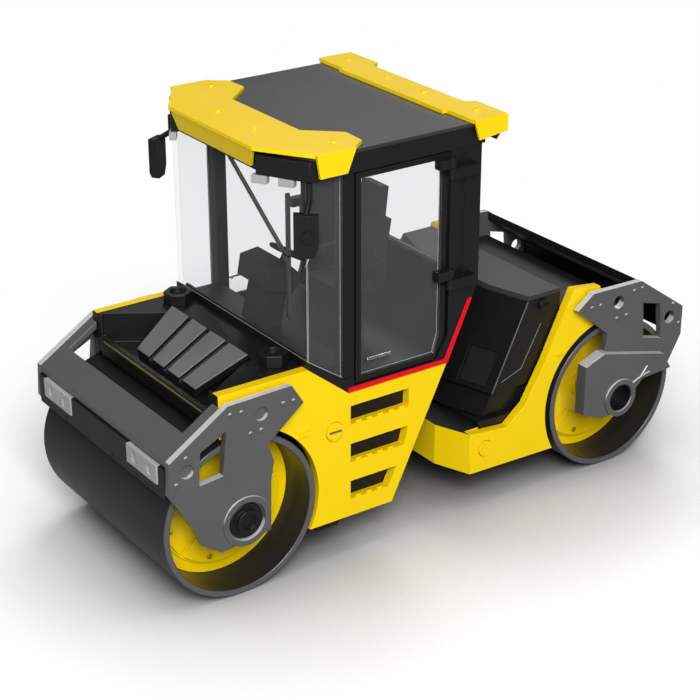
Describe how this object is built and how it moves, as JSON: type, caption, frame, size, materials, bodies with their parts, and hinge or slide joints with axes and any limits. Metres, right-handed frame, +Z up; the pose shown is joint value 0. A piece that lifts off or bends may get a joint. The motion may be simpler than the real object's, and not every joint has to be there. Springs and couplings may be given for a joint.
{
  "type": "toy road roller",
  "caption": "Articulated die-cast toy road roller with twin smooth drums, a glazed cab with hinged doors and a yellow and black body.",
  "frame": {"origin": "bottom centre of the whole model, between the two drum contact lines", "axes": "+X to the left side of the machine, -Y forwards, +Z up"},
  "size_m": [0.0446, 0.0992, 0.0663],
  "materials": {
    "yellow_paint": "satin enamel",
    "grey_plate": "satin enamel",
    "roof_grey": "fine texture",
    "drum_metal": "semi-gloss",
    "clear_plastic": "clear",
    "silver_plastic": "silver",
    "red_paint": "satin",
    "steel": "plain",
    "black_plastic": "fine texture"
  },
  "bodies": {
    "front_frame": {"base_screws": "steel", "bumper": "black_plastic", "cab_floor": "black_plastic", "cab_frame": "black_plastic", "console": "black_plastic", "cross_bar": "yellow_paint", "door_hinges": "black_plastic", "front_axle": "steel", "front_chassis": "black_plastic", "front_cross_plate": "grey_plate", "front_deck": "black_plastic", "front_plate_left": "grey_plate", "front_plate_right": "grey_plate", "front_scraper": "black_plastic", "front_side_panel_left": "yellow_paint", "front_side_panel_right": "yellow_paint", "headlamps": "silver_plastic", "hood_slats": "roof_grey", "hub_caps": "black_plastic", "light_boxes": "black_plastic", "mirrors": "black_plastic", "pivot_pin": "steel", "rear_lamps": "black_plastic", "rear_window": "clear_plastic", "red_trim": "red_paint", "roof_lamps": "silver_plastic", "roof_panel": "roof_grey", "roof_plate_front": "yellow_paint", "roof_plate_rear": "yellow_paint", "seat": "black_plastic", "side_caps": "yellow_paint", "steering_wheel": "black_plastic", "water_caps": "black_plastic", "windscreen": "clear_plastic", "wiper": "black_plastic"},
    "rear_frame": {"rear_axle": "steel", "rear_plate_left": "grey_plate", "rear_plate_right": "grey_plate", "rear_side_panel_left": "yellow_paint", "rear_side_panel_right": "yellow_paint", "rear_side_caps": "yellow_paint", "rear_nose": "yellow_paint", "rear_chassis": "black_plastic", "engine_hood": "black_plastic", "hood_lid": "roof_grey", "hood_vents": "black_plastic", "hood_locks": "black_plastic", "rear_cross_beam": "black_plastic", "rear_deck": "black_plastic", "rear_scraper": "black_plastic"},
    "front_roller": {"front_drum": "drum_metal", "front_drum_discs": "yellow_paint"},
    "rear_roller": {"rear_drum": "drum_metal", "rear_drum_discs": "yellow_paint"},
    "left_door": {"door_frame_left": "black_plastic", "door_glass_left": "clear_plastic", "door_handle_left": "silver_plastic"},
    "right_door": {"door_frame_right": "black_plastic", "door_glass_right": "clear_plastic", "door_handle_right": "silver_plastic"}
  },
  "joints": [
    {"name": "steering", "type": "hinge", "parent": "front_frame", "child": "rear_frame", "pos_m": [0, -0.001, 0.0165], "axis": [0, 0, 1], "range_deg": [-30, 30]},
    {"name": "front_drum_roll", "type": "hinge", "parent": "front_frame", "child": "front_roller", "pos_m": [0, -0.03664, 0.013], "axis": [1, 0, 0], "continuous": true},
    {"name": "rear_drum_roll", "type": "hinge", "parent": "rear_frame", "child": "rear_roller", "pos_m": [0, 0.03546, 0.013], "axis": [1, 0, 0], "continuous": true},
    {"name": "left_door_hinge", "type": "hinge", "parent": "front_frame", "child": "left_door", "pos_m": [0.0198, 0.00035, 0.0508], "axis": [0, 0, 1], "range_deg": [0, 75]},
    {"name": "right_door_hinge", "type": "hinge", "parent": "front_frame", "child": "right_door", "pos_m": [-0.0198, 0.00035, 0.0508], "axis": [0, 0, -1], "range_deg": [0, 75]}
  ]
}
